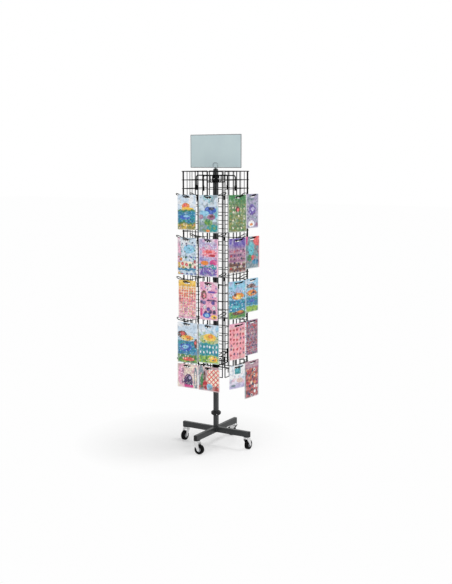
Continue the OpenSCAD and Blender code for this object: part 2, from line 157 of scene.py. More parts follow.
def coating(name, dark, light, rough, metallic=0.0, patch=14.0, grain=1400.0, relief=0.00006,
            stretch=(1, 1, 1), **shader):
    """Paint, plastic, rubber or plated metal: two near colours in patches, a fine grain and uneven gloss."""
    g = Graph(name)
    flow = g.add("Mapping", Vector=g.place(), Scale=stretch).outputs[0]
    patches = g.noise(flow, patch, 3.0)
    fine = g.noise(flow, grain, 2.0)
    g.shade(Base_Color=g.mix(g.span(patches, 0.35, 0.65), dark, light),
            Roughness=g.span(patches, 0.3, 0.7, rough - 0.05, rough + 0.05), Metallic=metallic, **shader)
    g.bump(fine, relief)
    return g.mat


frame_paint = coating("frame_paint", rgb(42, 44, 45), rgb(50, 52, 53), 0.4, relief=0.00008,
                      Specular_IOR_Level=0.35)
wire_paint = coating("wire_paint", rgb(5, 5, 6), rgb(10, 10, 11), 0.42, relief=0.00005,
                     Specular_IOR_Level=0.06)
black_plastic = coating("black_plastic", rgb(14, 14, 15), rgb(21, 21, 22), 0.5, grain=900.0,
                        Specular_IOR_Level=0.3)
zinc = coating("zinc", rgb(212, 212, 213), rgb(224, 224, 224), 0.32, metallic=0.9, relief=0.00003,
               stretch=(1, 1, 8))
wheel_grey = coating("wheel_grey", rgb(158, 161, 165), rgb(172, 175, 178), 0.45)
tyre_black = coating("tyre_black", rgb(5, 5, 6), rgb(10, 10, 10), 0.75, relief=0.00012,
                     Specular_IOR_Level=0.1)
nylon = coating("nylon", rgb(222, 219, 208), rgb(232, 230, 220), 0.5)
clip_grey = coating("clip_grey", rgb(150, 160, 165), rgb(168, 178, 182), 0.35)
sign_grey = coating("sign_grey", rgb(182, 199, 203), rgb(189, 206, 208), 0.42, patch=6.0, relief=0.00002)
sign_edge = coating("sign_edge", rgb(112, 116, 117), rgb(124, 128, 129), 0.4)
FINISHES = {"frame_paint": frame_paint, "wire_paint": wire_paint, "black_plastic": black_plastic, "zinc": zinc,
            "wheel_grey": wheel_grey, "tyre_black": tyre_black, "nylon": nylon, "clip_grey": clip_grey,
            "sign_grey": sign_grey}
for part in frame["record"]["subparts"]:
    if part["material_slot"] in FINISHES:
        node = nodes[part["node"]]
        for slot in node.material_slots:
            slot.material = FINISHES[part["material_slot"]]


# Mesh helpers

def piece(name, verts, faces, mat, body, slot, replaces=(), matrix=None, soften=0.0, angle=35, recalc=True):
    """A mesh in mm, placed by matrix in metres, that rides on a body and may stand for CAD nodes."""
    mesh = bpy.data.meshes.new(name)
    mesh.from_pydata([Vector(v) * MM for v in verts], [], faces)
    if recalc:
        bm = bmesh.new()
        bm.from_mesh(mesh)
        bmesh.ops.remove_doubles(bm, verts=bm.verts, dist=1e-6)
        bmesh.ops.recalc_face_normals(bm, faces=bm.faces)
        bm.to_mesh(mesh)
        bm.free()
    if matrix is not None:
        mesh.transform(matrix)
    mesh.shade_smooth()
    mesh.set_sharp_from_angle(angle=math.radians(angle))
    obj = bpy.data.objects.new(name, mesh)
    bpy.context.collection.objects.link(obj)
    if mat is not None:
        mesh.materials.append(mat)
    if soften:
        bevel = obj.modifiers.new("soften", "BEVEL")
        bevel.width = soften * MM
        bevel.segments = 2
        bevel.limit_method = "ANGLE"
        bevel.angle_limit = math.radians(angle)
        bevel.harden_normals = True
    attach(obj, body)
    if replaces:
        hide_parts(*replaces)
    return obj


def join(*parts):
    """Several (vertices, faces) as one."""
    verts, faces = [], []
    for part_verts, part_faces in parts:
        start = len(verts)
        verts += part_verts
        faces += [tuple(start + k for k in face) for face in part_faces]
    return verts, faces


def moved(part, matrix):
    return [matrix @ Vector(v) for v in part[0]], part[1]


def lathe(profile, steps=40):
    """A closed ring of (radius, height) points turned about Z; a radius of 0 closes it on the axis."""
    verts, faces = [], []
    for k in range(steps):
        turn = 2 * math.pi * k / steps
        verts += [(r * math.cos(turn), r * math.sin(turn), z) for r, z in profile]
    n = len(profile)
    for k in range(steps):
        a, b = k * n, (k + 1) % steps * n
        for i in range(n):
            j = (i + 1) % n
            if profile[i][0] == 0 and profile[j][0] == 0:
                continue
            faces.append((a + i, b + i, b + j, a + j))
    return verts, faces


def tube(path, radius, sides=10, closed=False, ripple=0.0, waves=0.0):
    """A wire along a path of points in mm; ripple and waves give a weld bead its scales."""
    points = [Vector(p) for p in path]
    count = len(points)
    verts, faces = [], []
    normal = None
    for k, point in enumerate(points):
        before = points[k - 1] if k or closed else point
        after = points[(k + 1) % count] if k + 1 < count or closed else point
        along = (after - before).normalized()
        if normal is None:
            normal = along.orthogonal().normalized()
        normal = (normal - along * normal.dot(along)).normalized()
        across = along.cross(normal)
        r = radius * (1 + ripple * math.sin(2 * math.pi * waves * k / count))
        for s in range(sides):
            turn = 2 * math.pi * s / sides
            verts.append(point + (normal * math.cos(turn) + across * math.sin(turn)) * r)
    for k in range(count if closed else count - 1):
        a, b = k * sides, (k + 1) % count * sides
        faces += [(a + s, a + (s + 1) % sides, b + (s + 1) % sides, b + s) for s in range(sides)]
    if not closed:
        faces += [tuple(range(sides)), tuple(range((count - 1) * sides, count * sides))]
    return verts, faces


def plate(outline, thickness):
    """An outline in the XZ plane, thickened evenly along Y."""
    n = len(outline)
    verts = [(x, s * thickness / 2, z) for s in (-1, 1) for x, z in outline]
    faces = [tuple(range(n)), tuple(range(n, 2 * n))]
    faces += [(k, (k + 1) % n, n + (k + 1) % n, n + k) for k in range(n)]
    return verts, faces


def arc(cx, cz, r, start, end, steps):
    return [(cx + r * math.cos(math.radians(start + (end - start) * k / steps)),
             cz + r * math.sin(math.radians(start + (end - start) * k / steps))) for k in range(steps + 1)]


def bead(centre, size, rings=4, sides=7):
    """A small weld nugget."""
    verts = [(centre[0], centre[1], centre[2] + size[2])]
    for i in range(1, rings):
        polar = math.pi * i / rings
        for s in range(sides):
            turn = 2 * math.pi * s / sides
            verts.append((centre[0] + size[0] * math.sin(polar) * math.cos(turn),
                          centre[1] + size[1] * math.sin(polar) * math.sin(turn),
                          centre[2] + size[2] * math.cos(polar)))
    verts.append((centre[0], centre[1], centre[2] - size[2]))
    last = len(verts) - 1
    faces = [(0, 1 + s, 1 + (s + 1) % sides) for s in range(sides)]
    for i in range(rings - 2):
        a, b = 1 + i * sides, 1 + (i + 1) * sides
        faces += [(a + s, b + s, b + (s + 1) % sides, a + (s + 1) % sides) for s in range(sides)]
    a = 1 + (rings - 2) * sides
    faces += [(last, a + (s + 1) % sides, a + s) for s in range(sides)]
    return verts, faces


def turned(side):
    """The turn from the front face's place to another side's."""
    return Matrix.Rotation(math.radians(90 * side), 4, "Z")


# Printed packs

SKY = rgb(138, 196, 224)
PALE = rgb(196, 214, 230)
SEA = rgb(16, 122, 164)
TEAL = rgb(14, 142, 148)
AQUA = rgb(86, 182, 194)
LIME = rgb(140, 180, 52)
OLIVE = rgb(138, 134, 58)
GREEN = rgb(52, 124, 66)
MOSS = rgb(104, 132, 84)
YELLOW = rgb(240, 196, 70)
ORANGE = rgb(228, 132, 44)
CORAL = rgb(222, 84, 80)
SALMON = rgb(238, 132, 144)
RED = rgb(188, 38, 44)
PINK = rgb(232, 164, 192)
ROSE = rgb(204, 62, 132)
MAUVE = rgb(150, 100, 134)
LAVENDER = rgb(182, 174, 212)
VIOLET = rgb(100, 74, 162)
PURPLE = rgb(70, 36, 92)
BLUE = rgb(50, 94, 186)
NAVY = rgb(28, 36, 72)
BROWN = rgb(100, 60, 44)
GREY = rgb(118, 140, 148)
BEIGE = rgb(220, 194, 184)
CREAM = rgb(240, 226, 204)
WHITE = rgb(240, 241, 242)
SAGE = rgb(182, 190, 146)
DUSTY = rgb(186, 152, 160)
HEATHER = rgb(164, 156, 186)
BRICK = rgb(178, 72, 70)


class Print(Graph):
    """Printed film: layers of colour over each other, worked out from the pack's UV map, in pack widths."""

    def __init__(self, name, ratio, ground, seed):
        super().__init__(name)
        self.ratio = ratio
        self.seed = seed
        split = self.add("SeparateXYZ", Vector=self.add("UVMap", {"uv_map": "print"}).outputs[0])
        self.u, self.v = split.outputs[0], split.outputs[1]
        self.y = self.math("MULTIPLY", self.v, ratio)
        self.flat = self.add("CombineXYZ", X=self.math("ADD", self.u, seed * 3.1), Y=self.y).outputs[0]
        self.wave = self.math("SUBTRACT", self.noise(self.flat, 4.5), 0.5)
        self.crumb = self.math("SUBTRACT", self.noise(self.flat, 30.0, 1.0), 0.5)
        self.colour = ground

    def step(self, value, edge, soft=0.012):
        return self.span(value, edge - soft, edge + soft)

    def both(self, a, b):
        return self.math("MULTIPLY", a, b)

    def within(self, value, low, high, soft=0.012):
        return self.both(self.step(value, low, soft), self.span(value, high - soft, high + soft, 1.0, 0.0))

    def cover(self, mask, colour):
        self.colour = self.mix(mask, self.colour, colour)

    def band(self, low, high, colour, wobble=0.12):
        level = self.math("ADD", self.v, self.math("MULTIPLY", self.wave, wobble))
        self.cover(self.within(level, low, high), colour)

    def fade(self, low, high, colour):
        self.cover(self.span(self.v, low, high), colour)

    def disc(self, cx, cy, rx, ry, colour, rough=0.25, hollow=0.0):
        du = self.math("DIVIDE", self.math("SUBTRACT", self.u, cx), rx)
        dv = self.math("DIVIDE", self.math("SUBTRACT", self.y, cy * self.ratio), ry)
        far = self.math("SQRT", self.math("ADD", self.both(du, du), self.both(dv, dv)))
        far = self.math("ADD", far, self.math("MULTIPLY", self.wave, rough))
        mask = self.span(far, 0.97, 1.03, 1.0, 0.0)
        if hollow:
            mask = self.both(mask, self.step(far, hollow, 0.03))
        self.cover(mask, colour)

    def spots(self, scale, size, colours, low=0.0, high=1.0, left=0.0, right=1.0, rim=0.0, core=0.0, loose=0.75,
              tall=1.0):
        """Dots in the given colours, in rows or, where loose, scattered. A rim edges them in white, or in navy
        if it is negative, a core adds a dark centre, and tall stretches them."""
        place = self.flat
        if tall != 1:
            place = self.add("Mapping", Vector=self.flat, Scale=(1, 1 / tall, 1)).outputs[0]
        cells = self.add("TexVoronoi", {"voronoi_dimensions": "2D"}, Vector=place, Scale=scale,
                         Randomness=loose)
        area = self.both(self.within(self.v, low, high), self.within(self.u, left, right))
        far = self.math("ADD", cells.outputs["Distance"], self.math("MULTIPLY", self.crumb, 0.35))
        if rim:
            reach = size + abs(rim)
            edge = self.span(far, reach - 0.03, reach + 0.03, 1.0, 0.0)
            self.cover(self.both(edge, area), WHITE if rim > 0 else NAVY)
        mask = self.both(self.span(far, size - 0.04, size + 0.04, 1.0, 0.0), area)
        parts = self.add("SeparateColor", Color=cells.outputs["Color"])
        pick = self.add("ValToRGB", Fac=parts.outputs[0])
        ramp = pick.color_ramp
        ramp.interpolation = "CONSTANT"
        while len(ramp.elements) < len(colours):
            ramp.elements.new(0.5)
        for k, element in enumerate(ramp.elements):
            element.position = k / len(colours)
            element.color = colours[min(k, len(colours) - 1)]
        self.cover(mask, pick.outputs[0])
        if core:
            dark = self.span(far, core - 0.03, core + 0.03, 1.0, 0.0)
            self.cover(self.both(self.both(dark, area), self.step(parts.outputs[1], 0.35)), NAVY)

    def haze(self, scale, colour, amount=0.6, low=0.0, high=1.0, wide=1.0):
        """Soft patches of a colour, drawn out sideways where wide is over 1."""
        place = self.add("Mapping", Vector=self.flat, Scale=(1 / wide, 1, 1)).outputs[0]
        cloud = self.span(self.noise(place, scale, 1.0), 0.5, 0.62, 0.0, amount)
        self.cover(self.both(cloud, self.within(self.v, low, high, 0.03)), colour)

    def rows(self, count, share, colour, low=0.0, high=1.0, amount=1.0):
        """Wavy bands that repeat up the pack."""
        run = self.math("ADD", self.math("MULTIPLY", self.y, count), self.math("MULTIPLY", self.wave, 0.6))
        mask = self.within(self.math("FRACT", run), 0.02, share, 0.06)
        mask = self.both(mask, self.within(self.v, low, high))
        self.cover(self.math("MULTIPLY", mask, amount), colour)

    def mottle(self):
        """Small printed detail that is too fine to tell apart from a step away."""
        for scale, dark, pale in ((6, 0.24, 0.16), (11, 0.3, 0.16)):
            fine = self.noise(self.flat, scale, 1.0)
            self.cover(self.span(fine, 0.55, 0.66, 0.0, dark), NAVY)
            self.cover(self.span(fine, 0.43, 0.34, 0.0, pale), WHITE)

    def stripes(self, count, share, colour, low=0.0, high=1.0, left=0.0, right=1.0, slope=0.0):
        run = self.math("ADD", self.math("MULTIPLY", self.u, count), self.math("MULTIPLY", self.y, slope))
        mask = self.within(self.math("FRACT", run), 0.02, share, 0.02)
        mask = self.both(mask, self.within(self.v, low, high))
        self.cover(self.both(mask, self.within(self.u, left, right)), colour)

    def block(self, left, low, right, high, colour):
        self.cover(self.both(self.within(self.u, left, right), self.within(self.v, low, high)), colour)

    def seals(self):
        """The welded edges: paler film with fine ribs across the weld."""
        seam_u, soft = SEAM_W / PACK_W, 0.006
        side = self.math("ABSOLUTE", self.math("SUBTRACT", self.u, 0.5))
        between_sides = self.span(side, 0.5 - seam_u - soft, 0.5 - seam_u + soft, 1.0, 0.0)
        inner = self.both(between_sides, self.step(self.y, seam_u, soft))
        seam = self.math("SUBTRACT", 1.0, inner)
        self.cover(self.math("MULTIPLY", seam, 0.45), WHITE)
        ribs = self.math("SINE", self.math("MULTIPLY", self.math("ADD", self.y, self.u), 420))
        return self.both(ribs, seam)

    def done(self, rough=0.34):
        creases = self.noise(self.flat, 7.0, 4.0)
        relief = self.math("ADD", creases, self.math("MULTIPLY", self.seals(), 0.12))
        self.shade(Base_Color=self.colour, Roughness=self.span(creases, 0.3, 0.7, rough - 0.06, rough + 0.08),
                   Coat_Weight=0.15, Coat_Roughness=0.12)
        self.bump(relief, 0.0012, 0.5)
        return self.mat


# Each pack's print, from the top row down: its ground colour, then its layers from back to front. A layer is
# the name of a method of Print with its values, places and sizes in shares of the pack from its lower left
PRINTS = {
    "packs_front_left": [
        (PALE, [
            ("haze", 3, WHITE, 0.8), ("disc", 0.46, 0.66, 0.22, 0.16, ORANGE, 0.5),
            ("disc", 0.42, 0.7, 0.1, 0.07, CORAL), ("disc", 0.56, 0.59, 0.34, 0.09, YELLOW),
            ("band", 0.5, 0.58, GREEN, 0.2), ("band", 0.2, 0.52, SEA), ("haze", 5, TEAL, 0.9, 0.2, 0.5, 3.0),
            ("spots", 9, 0.2, (AQUA, NAVY, TEAL, GREEN), 0.2, 0.58), ("disc", 0.42, 0.36, 0.3, 0.11, BLUE),
            ("disc", 0.5, 0.39, 0.16, 0.05, SKY), ("band", 0.0, 0.2, OLIVE),
            ("haze", 7, YELLOW, 0.6, 0.0, 0.2, 2.0), ("band", 0.17, 0.22, GREEN, 0.3),
            ("spots", 8, 0.22, (CORAL, GREEN, BROWN, CREAM), 0.02, 0.19)]),
        (PALE, [
            ("disc", 0.0, 0.6, 0.2, 0.9, PINK, 0.6), ("haze", 3, WHITE, 0.7), ("haze", 5, GREY, 0.6),
            ("disc", 0.62, 0.7, 0.3, 0.2, SKY), ("disc", 0.5, 0.28, 0.5, 0.16, CREAM, 0.6),
            ("spots", 5, 0.17, (NAVY, TEAL, PURPLE, BLUE, GREEN), 0.3, 0.94, 0.15, 1.0),
            ("spots", 4.4, 0.28, (MAUVE, ORANGE, GREEN, CORAL, BLUE, YELLOW), 0.02, 0.5, 0.0, 1.0, -0.06, 0.13),
            ("band", 0.13, 0.19, SEA, 0.2)]),
        (PINK, [
            ("haze", 3, DUSTY, 0.5, 0.0, 0.6), ("fade", 0.2, 0.6, SALMON), ("fade", 0.4, 0.66, CORAL),
            ("fade", 0.6, 0.8, ORANGE), ("fade", 0.72, 0.92, YELLOW), ("stripes", 7, 0.3, CREAM, 0.05, 0.86),
            ("rows", 8, 0.3, CREAM, 0.05, 0.86, 0.8), ("haze", 4, CORAL, 0.5, 0.1, 0.8),
            ("haze", 6, MAUVE, 0.35, 0.0, 0.7),
            ("spots", 7, 0.2, (ROSE, LIME, ORANGE, MAUVE), 0.06, 0.78, 0.1, 0.92)]),
        (PALE, [
            ("haze", 3, WHITE, 0.8, 0.7), ("disc", 0.24, 0.7, 0.24, 0.16, BROWN, 0.5),
            ("disc", 0.26, 0.72, 0.13, 0.08, CORAL), ("disc", 0.5, 0.62, 0.32, 0.12, YELLOW, 0.5),
            ("disc", 0.56, 0.64, 0.14, 0.07, ORANGE), ("band", 0.2, 0.56, SEA),
            ("haze", 5, TEAL, 0.9, 0.2, 0.56, 2.0), ("disc", 0.42, 0.38, 0.3, 0.17, BLUE, 0.4),
            ("disc", 0.4, 0.4, 0.16, 0.08, SKY), ("spots", 9, 0.2, (AQUA, NAVY, BROWN, SKY), 0.2, 0.72),
            ("disc", 0.94, 0.5, 0.1, 0.2, BROWN, 0.7), ("disc", 0.9, 0.52, 0.05, 0.07, CORAL),
            ("band", 0.0, 0.2, GREEN), ("haze", 6, LIME, 0.9, 0.0, 0.2),
            ("disc", 0.56, 0.1, 0.3, 0.08, CORAL),
            ("spots", 8, 0.22, (BROWN, YELLOW, CREAM, GREEN), 0.0, 0.22)]),
        (BEIGE, [
            ("haze", 3, PINK, 0.8), ("haze", 4, CREAM, 0.9), ("disc", 0.16, 0.5, 0.12, 0.4, PINK, 0.6),
            ("disc", 0.28, 0.5, 0.07, 0.36, MAUVE, 0.6, 0.5), ("disc", 0.55, 0.24, 0.22, 0.36, PURPLE, 0.3),
            ("disc", 0.58, 0.3, 0.12, 0.22, NAVY, 0.3), ("disc", 0.62, 0.44, 0.06, 0.07, LAVENDER),
            ("block", 0.36, 0.02, 0.78, 0.14, ROSE), ("disc", 0.9, 0.4, 0.08, 0.5, GREY, 0.6, 0.6),
            ("spots", 9, 0.18, (MAUVE, WHITE, DUSTY), 0.1, 0.9)]),
    ],
    "packs_front_right": [
        (PALE, [
            ("haze", 3, AQUA, 0.9), ("haze", 4, GREY, 0.8), ("haze", 6, WHITE, 0.6, 0.6),
            ("disc", 0.6, 0.6, 0.3, 0.16, BLUE, 0.6), ("disc", 0.66, 0.64, 0.14, 0.08, NAVY, 0.6),
            ("disc", 0.3, 0.52, 0.24, 0.12, SKY, 0.5), ("disc", 0.14, 0.42, 0.12, 0.1, MAUVE),
            ("band", 0.0, 0.3, GREY, 0.3), ("disc", 0.66, 0.42, 0.2, 0.13, MAUVE, 0.4),
            ("disc", 0.66, 0.44, 0.1, 0.06, BROWN), ("disc", 0.5, 0.28, 0.2, 0.13, GREEN, 0.6),
            ("disc", 0.74, 0.12, 0.3, 0.16, TEAL, 0.5), ("haze", 6, LIME, 0.7, 0.02, 0.34),
            ("disc", 0.48, 0.05, 0.1, 0.06, ORANGE)]),
        (LAVENDER, [
            ("haze", 3, PINK, 0.9), ("haze", 4, WHITE, 0.6, 0.7), ("haze", 5, HEATHER, 0.7),
            ("disc", 0.56, 0.62, 0.4, 0.16, SALMON, 0.6), ("haze", 6, PINK, 0.7, 0.4, 0.8),
            ("spots", 9, 0.2, (MAUVE, WHITE, ROSE, LAVENDER), 0.4, 0.86),
            ("disc", 0.5, 0.66, 0.2, 0.07, CORAL, 0.5), ("disc", 0.7, 0.56, 0.16, 0.06, RED),
            ("haze", 5, BLUE, 0.6, 0.4, 0.54, 3.0), ("disc", 0.32, 0.36, 0.2, 0.1, ORANGE),
            ("disc", 0.76, 0.38, 0.2, 0.12, ROSE, 0.5), ("band", 0.22, 0.29, TEAL, 0.3),
            ("band", 0.03, 0.22, VIOLET, 0.2), ("haze", 6, LAVENDER, 0.9, 0.03, 0.22),
            ("spots", 8, 0.2, (WHITE, PURPLE, TEAL, PINK), 0.02, 0.3), ("block", 0.93, 0.0, 1.0, 1.0, PINK)]),
        (PINK, [
            ("haze", 3, WHITE, 0.7, 0.6), ("disc", 0.24, 0.66, 0.16, 0.2, BROWN, 0.6),
            ("disc", 0.26, 0.64, 0.08, 0.1, SALMON), ("disc", 0.7, 0.74, 0.26, 0.05, VIOLET, 0.4),
            ("disc", 0.7, 0.6, 0.28, 0.05, PINK), ("disc", 0.68, 0.52, 0.3, 0.05, PURPLE, 0.4),
            ("spots", 4, 0.34, (LAVENDER, VIOLET, WHITE, PURPLE, PINK), 0.16, 0.5, 0.0, 1.0, -0.07, 0.12),
            ("spots", 5, 0.16, (PURPLE, ROSE, BLUE), 0.5, 0.9), ("disc", 0.4, 0.12, 0.22, 0.13, BLUE, 0.4),
            ("disc", 0.4, 0.12, 0.12, 0.08, SKY), ("disc", 0.8, 0.09, 0.17, 0.1, YELLOW),
            ("disc", 0.82, 0.08, 0.07, 0.05, BROWN), ("disc", 0.08, 0.2, 0.08, 0.2, ROSE)]),
        (PALE, [
            ("haze", 3, SKY, 0.8, 0.7), ("haze", 4, WHITE, 0.7, 0.8),
            ("disc", 0.52, 0.62, 0.48, 0.22, SAGE, 0.5), ("haze", 5, LIME, 0.7, 0.4, 0.8),
            ("spots", 8, 0.2, (MOSS, CREAM, GREEN), 0.5, 0.76), ("disc", 0.56, 0.68, 0.3, 0.16, YELLOW, 0.4),
            ("disc", 0.6, 0.7, 0.12, 0.08, ORANGE), ("band", 0.2, 0.52, TEAL, 0.16),
            ("haze", 5, SEA, 0.8, 0.2, 0.5),
            ("spots", 6.5, 0.23, (WHITE, WHITE, PALE, SKY), 0.24, 0.52, 0.0, 1.0, 0.0, 0.0, 0.25, 1.5),
            ("band", 0.0, 0.2, LIME), ("haze", 6, GREEN, 0.9, 0.0, 0.2),
            ("disc", 0.74, 0.12, 0.24, 0.12, YELLOW, 0.4), ("disc", 0.8, 0.12, 0.08, 0.05, ORANGE),
            ("spots", 8, 0.22, (GREEN, CREAM, TEAL), 0.0, 0.2)]),
        (DUSTY, [
            ("haze", 4, BEIGE, 0.9), ("block", 0.44, 0.1, 1.0, 0.9, CREAM),
            ("stripes", 5, 0.3, CORAL, 0.1, 0.9, 0.44, 1.0, 5.0),
            ("stripes", 5, 0.3, CORAL, 0.1, 0.9, 0.44, 1.0, -5.0),
            ("disc", 0.14, 0.5, 0.14, 0.5, GREY, 0.4, 0.55), ("disc", 0.2, 0.4, 0.1, 0.3, GREEN, 0.6),
            ("disc", 0.3, 0.5, 0.06, 0.3, BROWN, 0.6), ("disc", 0.34, 0.24, 0.12, 0.2, RED, 0.7),
            ("disc", 0.54, 0.18, 0.14, 0.14, SKY, 0.3), ("block", 0.68, 0.0, 1.0, 0.2, BRICK),
            ("haze", 4, CORAL, 0.8, 0.0, 0.2), ("haze", 5, BROWN, 0.6, 0.0, 0.24)]),
    ],
    "packs_right_near": [
        (MOSS, [
            ("haze", 3, OLIVE, 0.7, 0.0, 0.6), ("fade", 0.7, 0.9, GREEN), ("haze", 5, GREEN, 0.8),
            ("spots", 6.5, 0.27, (SAGE, SAGE, CREAM, OLIVE), 0.04, 0.74, 0.0, 1.0, 0.0, 0.0, 0.5),
            ("spots", 12, 0.2, (GREEN, NAVY, OLIVE), 0.0, 0.86), ("disc", 0.5, 0.62, 0.11, 0.12, BROWN, 0.6),
            ("disc", 0.52, 0.6, 0.06, 0.07, CORAL)]),
        (DUSTY, [
            ("fade", 0.6, 0.8, VIOLET), ("haze", 4, HEATHER, 0.7, 0.6, 1.0), ("haze", 3, BLUE, 0.4, 0.8, 1.0),
            ("band", 0.0, 0.3, BROWN, 0.05), ("band", 0.3, 0.66, MAUVE, 0.1),
            ("rows", 5, 0.3, DUSTY, 0.3, 0.7, 0.7), ("rows", 5, 0.35, CREAM, 0.02, 0.3, 0.4),
            ("spots", 5.6, 0.27, (BROWN, RED, PURPLE, CREAM, PINK, NAVY), 0.02, 0.68, 0.0, 1.0, 0.0, 0.15,
             0.4)]),
        (SKY, [
            ("haze", 3, LAVENDER, 0.7, 0.6), ("haze", 5, AQUA, 0.8, 0.8), ("haze", 6, MOSS, 0.9, 0.4, 0.7),
            ("disc", 0.52, 0.6, 0.34, 0.14, ORANGE, 0.9), ("disc", 0.56, 0.58, 0.16, 0.1, YELLOW, 0.5),
            ("disc", 0.36, 0.64, 0.08, 0.07, BROWN),
            ("spots", 8, 0.2, (BROWN, WHITE, NAVY, GREEN), 0.44, 0.76), ("band", 0.2, 0.5, SEA, 0.14),
            ("haze", 5, TEAL, 0.9, 0.2, 0.46),
            ("spots", 7, 0.24, (WHITE, AQUA, NAVY, PALE), 0.04, 0.5, 0.0, 1.0, 0.0, 0.0, 0.6, 0.7),
            ("disc", 0.4, 0.32, 0.26, 0.06, AQUA, 0.4), ("band", 0.0, 0.2, GREEN),
            ("haze", 6, LIME, 0.8, 0.0, 0.2), ("disc", 0.56, 0.15, 0.36, 0.08, BROWN, 0.6),
            ("disc", 0.66, 0.18, 0.16, 0.05, ORANGE)]),
        (rgb(242, 160, 170), [
            ("haze", 3, BEIGE, 0.7), ("haze", 5, SALMON, 0.5), ("fade", 0.85, 1.0, PINK),
            ("spots", 5.2, 0.27, (RED, RED, BRICK, MAUVE), 0.04, 0.88, 0.0, 1.0, 0.0, 0.14, 0.35, 1.15)]),
        (WHITE, [
            ("haze", 3, PALE, 0.9), ("block", 0.34, 0.62, 0.72, 0.94, TEAL),
            ("disc", 0.5, 0.8, 0.1, 0.1, AQUA), ("fade", 0.4, 0.1, LAVENDER),
            ("haze", 4, PINK, 0.6, 0.1, 0.6), ("disc", 0.66, 0.34, 0.22, 0.12, BEIGE, 0.5),
            ("disc", 0.24, 0.14, 0.14, 0.06, GREY, 0.5)]),
    ],
    "packs_right_far": [
        (HEATHER, [
            ("haze", 3, GREY, 0.7), ("disc", 0.36, 0.84, 0.3, 0.06, GREY),
            ("disc", 0.46, 0.54, 0.3, 0.26, VIOLET, 0.8), ("disc", 0.5, 0.56, 0.14, 0.1, LAVENDER, 0.6),
            ("spots", 5, 0.18, (NAVY, GREY, PALE, PURPLE), 0.24, 0.96),
            ("disc", 0.4, 0.13, 0.26, 0.17, WHITE, 0.3), ("disc", 0.4, 0.11, 0.13, 0.06, ORANGE),
            ("disc", 0.86, 0.1, 0.1, 0.1, MAUVE)]),
        (GREY, [
            ("disc", 0.0, 1.0, 0.2, 0.36, ROSE, 0.2), ("disc", 0.84, 0.94, 0.3, 0.34, CORAL, 0.2),
            ("haze", 3, TEAL, 0.6, 0.3, 0.7), ("haze", 5, BRICK, 0.5, 0.2, 0.8),
            ("disc", 0.4, 0.62, 0.2, 0.3, AQUA, 0.3), ("disc", 0.3, 0.34, 0.16, 0.14, GREEN, 0.5),
            ("disc", 0.5, 0.34, 0.1, 0.1, CORAL, 0.6), ("disc", 0.7, 0.2, 0.24, 0.1, SEA, 0.5),
            ("spots", 4.5, 0.15, (NAVY, BROWN, TEAL), 0.06, 0.66), ("block", 0.94, 0.0, 1.0, 0.75, SALMON)]),
        (SKY, [
            ("haze", 3, PALE, 0.8, 0.7), ("disc", 0.4, 0.78, 0.34, 0.09, BROWN, 0.6),
            ("spots", 6, 0.24, (CREAM, NAVY, CORAL), 0.7, 0.86),
            ("disc", 0.46, 0.57, 0.38, 0.16, ORANGE, 0.6), ("haze", 7, BROWN, 0.8, 0.44, 0.72),
            ("disc", 0.6, 0.58, 0.1, 0.06, NAVY), ("disc", 0.3, 0.56, 0.1, 0.06, YELLOW),
            ("band", 0.2, 0.45, SEA), ("haze", 5, TEAL, 0.9, 0.2, 0.45, 2.0),
            ("disc", 0.44, 0.33, 0.26, 0.07, BLUE),
            ("spots", 8, 0.22, (BROWN, AQUA, NAVY, GREEN), 0.16, 0.56), ("band", 0.0, 0.18, LIME),
            ("haze", 4, GREEN, 0.9, 0.0, 0.18)]),
        (MAUVE, [
            ("haze", 4, DUSTY, 0.7), ("rows", 5, 0.4, PURPLE, 0.0, 1.0, 0.8), ("haze", 6, GREY, 0.8),
            ("haze", 7, BRICK, 0.8, 0.1, 0.9),
            ("spots", 5.4, 0.3, (NAVY, HEATHER, BRICK, PURPLE, BEIGE, RED), 0.02, 0.96, 0.0, 1.0, 0.0, 0.18),
            ("rows", 4, 0.2, DUSTY, 0.06, 0.2, 0.8)]),
        (BRICK, [
            ("block", 0.0, 0.8, 1.0, 1.0, DUSTY), ("rows", 7, 0.4, MAUVE, 0.8, 1.0, 0.9),
            ("haze", 3, ROSE, 0.6, 0.0, 0.8), ("haze", 5, ORANGE, 0.7, 0.3, 0.8),
            ("rows", 4, 0.3, BROWN, 0.0, 0.78, 0.7),
            ("spots", 4.6, 0.32, (RED, PURPLE, CREAM, WHITE, BROWN, PINK, NAVY), 0.0, 0.8, 0.0, 1.0, 0.0, 0.2),
            ("block", 0.0, 0.0, 0.07, 0.8, GREY), ("block", 0.93, 0.0, 1.0, 0.8, GREY)]),
    ],
}
# Each pack's share of the full pack's height and width, and each column's turn in degrees, as in the CAD model
HEIGHT_SHARES = {
    "packs_front_left": (0.84, 0.9, 0.93, 1, 0.59),
    "packs_front_right": (0.885, 0.9, 0.915, 0.945, 0.6),
    "packs_right_near": (0.885, 0.825, 0.915, 0.885, 0.575),
    "packs_right_far": (0.825, 0.78, 0.825, 0.87, 0.925),
}
WIDTH_SHARES = {
    "packs_front_left": (0.875, 0.9, 0.85, 0.965, 0.985),
    "packs_front_right": (0.905, 0.905, 0.845, 0.965, 1),
    "packs_right_near": (1, 0.955, 0.955, 0.915, 0.86),
    "packs_right_far": (0.8, 0.965, 0.84, 0.81, 0.965),
}
PACK_TURN = {
    "packs_front_left": 0, "packs_front_right": 0, "packs_right_near": 90 - 16, "packs_right_far": 90 - 8,
}


def pack_back():
    """The unprinted back of a pack: milky film with a plain pale panel."""
    g = Print("pack_back", 1.5, rgb(222, 226, 232), 40)
    g.block(0.16, 0.3, 0.84, 0.6, rgb(240, 240, 238))
    return g.done(0.4)


back_film = pack_back()


